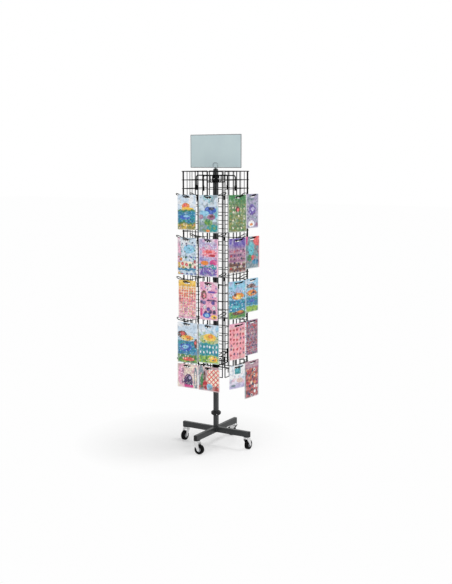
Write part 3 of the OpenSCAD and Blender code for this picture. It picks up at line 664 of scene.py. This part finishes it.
def stops(*marks):
    """Grid lines through marks, each given with the number of steps that lead to it."""
    out = [marks[0][0]]
    for (a, _), (b, count) in zip(marks, marks[1:]):
        out += [a + (b - a) * k / count for k in range(1, count + 1)]
    return out


def rounded(x, z, cx, cz, r):
    """A point of a square corner, drawn in to the arc about (cx, cz)."""
    away = Vector((x - cx, z - cz))
    return (x, z) if away.length <= r else tuple(Vector((cx, cz)) + away.normalized() * r)


def build_pack(name, node, mat, width, height, matrix, rng):
    """A filled film pack: flat header with a wide slot, welded seams, a soft body, and a slight curl."""
    half, foot = width / 2, SLOT_TOP - height
    hole, bend = SLOT_W / 2, SLOT_H / 2 - 1
    body_top = SLOT_TOP - HEADER_H
    xs = stops((-half, 0), (-half + CORNER, 3), (-hole, 9), (bend - hole, 3), (hole - bend, 6), (hole, 3),
               (half - CORNER, 9), (half, 3))
    zs = stops((SLOT_TOP, 0), (SLOT_TOP - CORNER, 3), (0, 2), (-bend, 3), (bend - SLOT_H, 1), (-SLOT_H, 3),
               (body_top, 3), (body_top - 12, 4), (foot + 17, max(6, int(height / 11))), (foot + CORNER, 4),
               (foot, 3))
    phase = [rng.uniform(0, 6.28) for _ in range(8)]
    curl, twist = rng.uniform(-2.5, 2.5), rng.uniform(-3, 3)
    body_w, body_h = width - 2 * SEAM_W, body_top - foot - SEAM_W

    def shape(x, z):
        """How far a point of the film stands back from the flat pack, and half the pack's thickness there."""
        su = min(max((x + body_w / 2) / body_w, 0), 1)
        sv = min(max((body_top - z) / body_h, 0), 1)
        inside = 0 < su < 1 and 0 < sv < 1
        fill = (math.sin(math.pi * su) * math.sin(math.pi * sv)) ** 0.38 if inside else 0
        near = min(half - abs(x), z - foot + 4, abs(body_top - z) + 4)
        pucker = 0.3 * math.sin(x * 0.5 + phase[0]) * math.sin(z * 0.42 + phase[1]) * math.exp(-near / 9)
        soft = 0.5 * math.sin(x * 0.07 + phase[2]) * math.sin(z * 0.05 + phase[3])
        soft += 0.3 * math.sin(x * 0.16 + z * 0.09 + phase[4])
        down = max(-z / height, 0)
        middle = curl * down ** 1.6 * (1 - 0.5 * (2 * x / width) ** 2) + twist * down * x / width
        half_t = SEAM_T / 2 + fill * (PACK_T / 2 + 0.5 - SEAM_T / 2 + 0.5 * soft)
        return middle + pucker * (z < -SLOT_H), half_t

    verts, uvs = [], []
    for face in (-1, 1):
        for z in zs:
            for x in xs:
                px, pz = x, z
                cx, cz = math.copysign(half - CORNER, x), min(max(z, foot + CORNER), SLOT_TOP - CORNER)
                if abs(x) > half - CORNER and cz != z:
                    px, pz = rounded(x, z, cx, cz, CORNER)
                hx, hz = math.copysign(hole - bend, x), min(max(z, bend - SLOT_H), -bend)
                if hole - bend <= abs(x) <= hole and -SLOT_H <= z <= 0 and hz != z:
                    px, pz = rounded(x, z, hx, hz, bend)
                middle, half_t = shape(px, pz)
                verts.append((px, middle + face * half_t, pz))
                uvs.append((px / width + 0.5, (pz - foot) / height))
    cols, count = len(xs), len(xs) * len(zs)
    faces, edges = [], {}
    for j in range(len(zs) - 1):
        for i in range(cols - 1):
            if abs(xs[i] + xs[i + 1]) / 2 < hole and -SLOT_H < (zs[j] + zs[j + 1]) / 2 < 0:
                continue
            quad = (j * cols + i, (j + 1) * cols + i, (j + 1) * cols + i + 1, j * cols + i + 1)
            faces.append(quad)
            for k in range(4):
                edge = (quad[k], quad[(k + 1) % 4])
                key = tuple(sorted(edge))
                edges[key] = None if key in edges else edge
    front = len(faces)
    faces += [tuple(count + k for k in reversed(face)) for face in faces]
    faces += [(b, a, a + count, b + count) for a, b in filter(None, edges.values())]
    used = sorted({k for face in faces for k in face})
    renumber = {old: new for new, old in enumerate(used)}
    obj = piece(name, [verts[k] for k in used], [tuple(renumber[k] for k in face) for face in faces], mat,
                "tower", "pack_film", (node,), matrix, angle=60, recalc=False)
    obj.data.materials.append(back_film)
    layer = obj.data.uv_layers.new(name="print")
    for polygon in obj.data.polygons:
        polygon.material_index = 1 if front <= polygon.index < 2 * front else 0
        for loop in polygon.loop_indices:
            layer.data[loop].uv = uvs[used[obj.data.loops[loop].vertex_index]]
    return obj


def dress_packs():
    for column, (node, designs) in enumerate(PRINTS.items()):
        low, high = (Vector(v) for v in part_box(node))
        centre = (low + high) / 2
        for row, (ground, layers) in enumerate(designs):
            width, height = PACK_W * WIDTH_SHARES[node][row], PACK_H * HEIGHT_SHARES[node][row]
            sheet = Print("print_%s_%d" % (node, row + 1), height / width, ground, column * ROWS + row + 1)
            for kind, *values in layers:
                getattr(sheet, kind)(*values)
            sheet.mottle()
            hang = Vector((centre.x, centre.y, high.z - (SLOT_TOP + row * ROW_PITCH) * MM))
            matrix = Matrix.Translation(hang) @ Matrix.Rotation(math.radians(PACK_TURN[node]), 4, "Z")
            build_pack("%s_%d" % (node, row + 1), node, sheet.done(), width, height, matrix,
                       random.Random(100 + column * ROWS + row))


dress_packs()


# Casters: X is the way the wheel trails, Y is along the axle, Z is up from the floor, all in mm

def outline_at(trail, z):
    """The fork's reach along X at a height: wide under the crown, round at the axle."""
    top, crown, eye = 17.0, 66.0, 8.0
    share = min(max((z - WHEEL_R) / (crown - WHEEL_R), 0), 1)
    back = trail - eye + (-top - trail + eye) * share
    front = trail + eye + (top - trail - eye) * share
    if z < WHEEL_R:
        reach = math.sqrt(max(eye ** 2 - (WHEEL_R - z) ** 2, 0))
        back, front = trail - reach, trail + reach
    return back, front


def fork_sheet(trail):
    """The pressed fork: one sheet bent over the wheel, as a closed shell."""
    bend = 5.0
    top = CASTER_H - 7.3
    inner, outer = [], []
    for z in [WHEEL_R + rise for rise in (-7.99, -7, -4.5, 0, 8, 18, 28)] + [top - bend]:
        outer.append((FORK_OUT, z))
        inner.append((FORK_OUT - FORK_T, z))
    for k in range(1, 6):
        a = math.radians(18 * k)
        for side, r in ((outer, bend), (inner, bend - FORK_T)):
            side.append((FORK_OUT - bend + r * math.cos(a), top - bend + r * math.sin(a)))
    section = [(-y, z) for y, z in outer] + [(y, z) for y, z in reversed(outer)]
    section += [(y, z) for y, z in inner] + [(-y, z) for y, z in reversed(inner)]
    cuts = 8
    verts, faces = [], []
    for t in range(cuts + 1):
        for y, z in section:
            back, front = outline_at(trail, z)
            verts.append((back + (front - back) * t / cuts, y, z))
    n = len(section)
    for t in range(cuts):
        a, b = t * n, (t + 1) * n
        faces += [(a + k, a + (k + 1) % n, b + (k + 1) % n, b + k) for k in range(n)]
    half = n // 4
    for t in (0, cuts):
        for k in range(2 * half - 1):
            faces.append((t * n + k, t * n + k + 1, t * n + n - 2 - k, t * n + n - 1 - k))
    return verts, faces


def hexagon(r, low, high):
    ring = [(r * math.cos(math.radians(60 * k)), r * math.sin(math.radians(60 * k))) for k in range(6)]
    verts = [(x, y, z) for z in (low, high) for x, y in ring]
    faces = [tuple(range(6)), tuple(range(6, 12))]
    faces += [(k, (k + 1) % 6, 6 + (k + 1) % 6, 6 + k) for k in range(6)]
    return verts, faces


# Turned profiles, as (radius, height above the floor)
CUP_FOOT = CASTER_H - 7
CUP = [(0, CASTER_H), (19.4, CASTER_H), (20, 79.4), (20, 78.2), (19.2, 77.6), (18.4, 76.8), (18.4, 76.2),
       (19.6, 75.4), (19.8, 74.2), (19.2, CUP_FOOT), (15, CUP_FOOT), (14, CUP_FOOT + 1.5), (0, CUP_FOOT + 1.5)]
CROWN = [(0, 72.4), (17.6, 72.4), (18.8, 71.6), (19, 70.4), (18.4, 69.6), (16.5, 69.2), (0, 69.2)]
RIVET = [(0, 63.6), (4.5, 63.9), (5.6, 65), (5.6, 70.2), (0, 70.2)]

# Turned profiles, as (radius, place along the axle); those of the wheel are mirrored about its middle
WASHER = [(0, FORK_OUT), (6.6, FORK_OUT), (6.6, FORK_OUT + 0.9), (0, FORK_OUT + 0.9)]
PIN = [(0, -FORK_OUT), (AXLE_R, -FORK_OUT), (AXLE_R, FORK_OUT), (0, FORK_OUT)]
PIN_HEAD = [(0, -FORK_OUT), (6, -FORK_OUT), (6, -FORK_OUT - 1), (4.6, -FORK_OUT - 2.2), (0, -FORK_OUT - 2.5)]
WHEEL_SIDE = -WHEEL_W / 2
TREAD = [(HUB_R - 0.4, WHEEL_SIDE + 1.5), (HUB_R + 1, WHEEL_SIDE + 0.4), (HUB_R + 2.4, WHEEL_SIDE),
         (WHEEL_R - 3.2, WHEEL_SIDE), (WHEEL_R - 1.3, WHEEL_SIDE + 0.8), (WHEEL_R - 0.35, WHEEL_SIDE + 2.6),
         (WHEEL_R - 0.05, WHEEL_SIDE + 5)]
HUB = [(AXLE_R + 0.3, WHEEL_SIDE + 0.6), (6.6, WHEEL_SIDE + 0.6), (7.2, WHEEL_SIDE + 1.4),
       (7.5, WHEEL_SIDE + 3.4), (12, WHEEL_SIDE + 4), (13.2, WHEEL_SIDE + 2), (HUB_R - 0.9, WHEEL_SIDE + 1.1),
       (HUB_R - 0.2, WHEEL_SIDE + 1.6)]
BOX_FACES = [(0, 1, 3, 2), (4, 6, 7, 5), (0, 4, 5, 1), (2, 3, 7, 6), (0, 2, 6, 4), (1, 5, 7, 3)]


def mirrored(profile):
    return [(r, -z) for r, z in reversed(profile)]


def dress_caster(side):
    swivel = Vector(joints["caster_%s_swivel" % side]["pos_m"])
    wheel = Vector(joints["caster_%s_roll" % side]["pos_m"])
    away = wheel - swivel
    trail = Vector((away.x, away.y)).length / MM
    matrix = Matrix.Translation((swivel.x, swivel.y, 0)) @ Matrix.Rotation(math.atan2(away.y, away.x), 4, "Z")
    across = Matrix.Translation((trail, 0, WHEEL_R)) @ Matrix.Rotation(math.pi / 2, 4, "X")
    swivel_body, wheel_body = "swivel_" + side, "wheel_" + side

    def add(name, part, mat, body, slot, node, **options):
        piece(name + side, *part, mat, body, slot, (node,), matrix, **options)

    add("cup_", lathe(CUP, 48), zinc, "base", "zinc", "caster_mounts")
    add("fork_sheet_", fork_sheet(trail), zinc, swivel_body, "zinc", "fork_" + side, soften=0.5)
    add("fork_crown_", join(lathe(CROWN, 48), lathe(RIVET, 24)), zinc, swivel_body, "zinc", "fork_" + side)
    bolt = join(hexagon(6.2, FORK_OUT + 0.9, FORK_OUT + 2.5), lathe(WASHER, 24), lathe(PIN, 24),
                lathe(PIN_HEAD, 24))
    add("axle_bolt_", moved(bolt, across), zinc, swivel_body, "zinc", "axle_" + side, soften=0.2)

    tyre = lathe(TREAD + [(WHEEL_R, 0)] + mirrored(TREAD), 56)
    add("tread_", moved(tyre, across), tyre_black, wheel_body, "tyre_black", "tyre_" + side)
    rib_half = -WHEEL_SIDE - 1.4
    rib = [(x, y, z) for x in (6.8, 13.0) for y in (-0.9, 0.9) for z in (-rib_half, rib_half)]
    ribs = [moved((rib, BOX_FACES), Matrix.Rotation(math.radians(60 * k), 4, "Z")) for k in range(6)]
    centre = join(lathe(HUB + mirrored(HUB), 48), *ribs)
    add("wheel_centre_", moved(centre, across), wheel_grey, wheel_body, "wheel_grey", "hub_" + side)


for side in SIDES:
    dress_caster(side)


# Base and tower details

def frame_path(w, h, r, steps=5, spacing=1.2):
    """A closed round-cornered rectangle in the XZ plane, with points evenly close."""
    path = []
    x, z = w / 2 - r, h / 2 - r
    for cx, cz, start in ((x, z, 0), (-x, z, 90), (-x, -z, 180), (x, -z, 270)):
        corner = arc(cx, cz, r, start, start + 90, steps)
        if path:
            path += between(path[-1], corner[0], spacing)
        path += corner
    return path + between(path[-1], path[0], spacing)


def between(a, b, spacing):
    """The points that part a straight stretch into steps of about the spacing, without its ends."""
    count = int(math.dist(a, b) / spacing)
    return [(a[0] + (b[0] - a[0]) * k / count, a[1] + (b[1] - a[1]) * k / count) for k in range(1, count)]


def dress_base():
    """A weld bead round each leg's end on the post, sunk a little into both."""
    sunk = 0.3
    for side, name in enumerate(SIDES):
        outline = frame_path(LEG_W - 2 * sunk, LEG_H - 2 * sunk, 2)
        path = [(x, -MAST_W / 2 - sunk, z + CASTER_H + LEG_H / 2) for x, z in outline]
        weld = tube(path, 1.3, 8, True, 0.16, len(path) / 2.6)
        piece("leg_weld_" + name, *weld, frame_paint, "base", "frame_paint", (), turned(side))


dress_base()


MAIN_RODS = (-132.5, 0, 132.5)
THIN_RODS = (-87.5, -34, 34, 87.5)


def dress_panel(side, name):
    """Weld nuggets where the rungs and rims cross the upright rods, and where the prongs meet their bars."""
    contact = -PANEL_OFFSET - ROD_D / 2
    rungs = [(PANEL_TOP - RUNG_PITCH * k, WIRE_D / 2) for k in range(1, RUNGS + 1)]
    rungs += [(PANEL_TOP, RIM_D / 2), (PANEL_FOOT, RIM_D / 2)]
    rods = [(u, ROD_D / 2) for u in MAIN_RODS] + [(u, WIRE_D / 2) for u in THIN_RODS]
    parts = []
    for z, r in rungs:
        for x, rod in rods:
            parts.append(bead((x, contact, z), (0.9 + rod * 0.3, 0.9, 0.9 + r * 0.45), 4, 6))
    piece("panel_welds_" + name, *join(*parts), wire_paint, "tower", "wire_paint", (), turned(side),
          recalc=False)
    parts = []
    bar_front = contact - WIRE_D - HOOK_D
    for row in range(ROWS):
        z = FIRST_HOOK - ROW_PITCH * row
        for u in (-HOOK_U, HOOK_U):
            for x in (-PRONG_GAP / 2, PRONG_GAP / 2):
                parts.append(bead((u + x, bar_front + 0.6, z + 0.3), (HOOK_D * 0.62, 1.6, HOOK_D * 0.58), 5, 8))
    piece("hook_welds_" + name, *join(*parts), wire_paint, "tower", "wire_paint", (), turned(side),
          recalc=False)


for number, name in enumerate(SIDES):
    dress_panel(number, name)


def dress_sign():
    """The board with a thin grey edge, its two wire rings as one spiral, and the block that holds them."""
    low, high = (Vector(v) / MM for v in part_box("sign_board"))
    w, h, middle = high.x - low.x, high.z - low.z, (low.z + high.z) / 2
    edge, edge_sunk, no_points = 4, 0.6, 400

    def corners(inset, r):
        return [(x, z + middle) for x, z in frame_path(w - 2 * inset, h - 2 * inset, r, 6, no_points)]

    piece("sign_sheet", *plate(corners(edge_sunk, 2.6), SIGN_T - 0.5), sign_grey, "tower", "sign_grey",
          ("sign_board",), soften=0.15)
    outer, inner = corners(0, 3), corners(edge, 1.5)
    n = len(outer)
    verts = [(x, s * SIGN_T / 2, z) for s in (-1, 1) for x, z in outer + inner]
    faces = []
    for k in range(n):
        j = (k + 1) % n
        faces += [(k, j, n + j, n + k), (2 * n + k, 3 * n + k, 3 * n + j, 2 * n + j),
                  (k, 2 * n + k, 2 * n + j, j), (n + k, n + j, 3 * n + j, 3 * n + k)]
    piece("sign_frame", verts, faces, sign_edge, "tower", "sign_grey", ("sign_board",), soften=0.3)

    ring_r, middle_z = (RING_D - RING_WIRE) / 2, low.z + RING_D / 2 - 5
    gap = SIGN_T / 2 + RING_WIRE / 2
    path = []
    steps, cross_at, cross_for = 112, 342, 36
    for k in range(steps + 1):
        turn = 720 * k / steps
        cross = min(max((turn - cross_at) / cross_for, 0), 1)
        y = -gap + 2 * gap * cross * cross * (3 - 2 * cross)
        angle = math.radians(turn)
        path.append((ring_r * math.sin(angle), y, middle_z - ring_r * math.cos(angle)))
    piece("sign_spiral", *tube(path, RING_WIRE / 2, 12), clip_grey, "tower", "clip_grey", ("sign_clip",))
    foot, top = low.z - 6, low.z - 0.1
    block = lathe([(0, foot), (4.6, foot), (5.5, foot + 0.8), (5.5, low.z - 1.2), (4.8, top), (0, top)], 32)
    piece("clip_block", *block, black_plastic, "tower", "clip_grey", ("sign_clip",))


dress_sign()


# Floor, light and camera

# The floor keeps the shadow near the stand and fades to white further out, as in the photo. The shadow lies
# beside the stand, so the fade is measured from a point 197 mm from its axis
FADE_SHIFT = (0.197, 0, 0)
FADE_START, FADE_END = -0.1, 0.72
WORLD_LIGHT = 0.5
LAMPS = (  # name, place, aim, side in metres, watts
    ("key", (2.0, 1.6, 4.2), (0, 0, 0.8), 1.3, 70),
    ("front", (0.6, -4.4, 2.8), (0, 0, 0.9), 3.4, 75),
    ("side", (3.6, -2.0, 2.4), (0, 0, 0.9), 2.6, 26),
)


def stage():
    bpy.ops.mesh.primitive_plane_add(size=60, location=(0, 0, 0))
    floor = bpy.context.object
    floor.name = "floor"
    g = Graph("floor")
    shifted = g.add("Mapping", Vector=g.place(), Location=FADE_SHIFT).outputs[0]
    away = g.add("VectorMath", {"operation": "LENGTH"}, Vector=shifted).outputs["Value"]
    far = g.span(away, FADE_START, FADE_END)
    g.shade(Base_Color=rgb(251, 251, 251), Roughness=0.6)
    light_path = g.add("LightPath")
    seen = g.math("MAXIMUM", light_path.outputs["Is Camera Ray"], light_path.outputs["Is Glossy Ray"])
    seen = g.math("MAXIMUM", seen, light_path.outputs["Is Transmission Ray"])
    white = g.add("Emission", Color=(0.99, 0.99, 0.99, 1), Strength=1.0)
    blend = g.add("MixShader", Fac=g.math("MULTIPLY", far, seen))
    output = g.tree.nodes["Material Output"]
    g.tree.links.new(g.bsdf.outputs[0], blend.inputs[1])
    g.tree.links.new(white.outputs[0], blend.inputs[2])
    g.tree.links.new(blend.outputs[0], output.inputs["Surface"])
    floor.data.materials.append(g.mat)

    world = bpy.data.worlds.new("studio")
    bpy.context.scene.world = world
    world.use_nodes = True
    tree = world.node_tree
    sky = tree.nodes["Background"]
    sky.inputs["Color"].default_value = (1, 1, 1, 1)
    path = tree.nodes.new("ShaderNodeLightPath")
    seen = path.outputs["Is Camera Ray"]
    for kind in ("Is Glossy Ray", "Is Transmission Ray"):
        either = tree.nodes.new("ShaderNodeMath")
        either.operation = "MAXIMUM"
        tree.links.new(seen, either.inputs[0])
        tree.links.new(path.outputs[kind], either.inputs[1])
        seen = either.outputs[0]
    pick = tree.nodes.new("ShaderNodeMapRange")
    pick.inputs["To Min"].default_value = WORLD_LIGHT
    pick.inputs["To Max"].default_value = 1.0
    tree.links.new(seen, pick.inputs["Value"])
    tree.links.new(pick.outputs[0], sky.inputs["Strength"])

    for name, place, aim, size, power in LAMPS:
        lamp = bpy.data.lights.new(name, "AREA")
        lamp.size = size
        lamp.energy = power
        obj = bpy.data.objects.new(name, lamp)
        obj.location = place
        obj.rotation_euler = (Vector(aim) - Vector(place)).to_track_quat("-Z", "Y").to_euler()
        bpy.context.collection.objects.link(obj)


stage()


def place_camera():
    """The photograph's view, fitted on the picture: 452 by 584 pixels, centred, with no shift."""
    picture_h, focal_pixels, sensor = 584, 925, 36
    azimuth, pitch = math.radians(30.9), math.radians(8.04)
    distance, sideways, height = 5.506, 0.061, 1.723
    back = Vector((math.sin(azimuth), -math.cos(azimuth), 0))
    right = Vector((math.cos(azimuth), math.sin(azimuth), 0))
    camera = bpy.data.cameras.new("camera")
    camera.sensor_fit = "VERTICAL"
    camera.sensor_height = sensor
    camera.lens = focal_pixels / picture_h * sensor
    obj = bpy.data.objects.new("camera", camera)
    obj.location = back * distance + right * sideways + Vector((0, 0, height))
    look = Vector((-back.x * math.cos(pitch), -back.y * math.cos(pitch), -math.sin(pitch)))
    obj.rotation_euler = look.to_track_quat("-Z", "Y").to_euler()
    bpy.context.collection.objects.link(obj)
    bpy.context.scene.camera = obj


place_camera()
bpy.context.scene.view_settings.view_transform = "Standard"
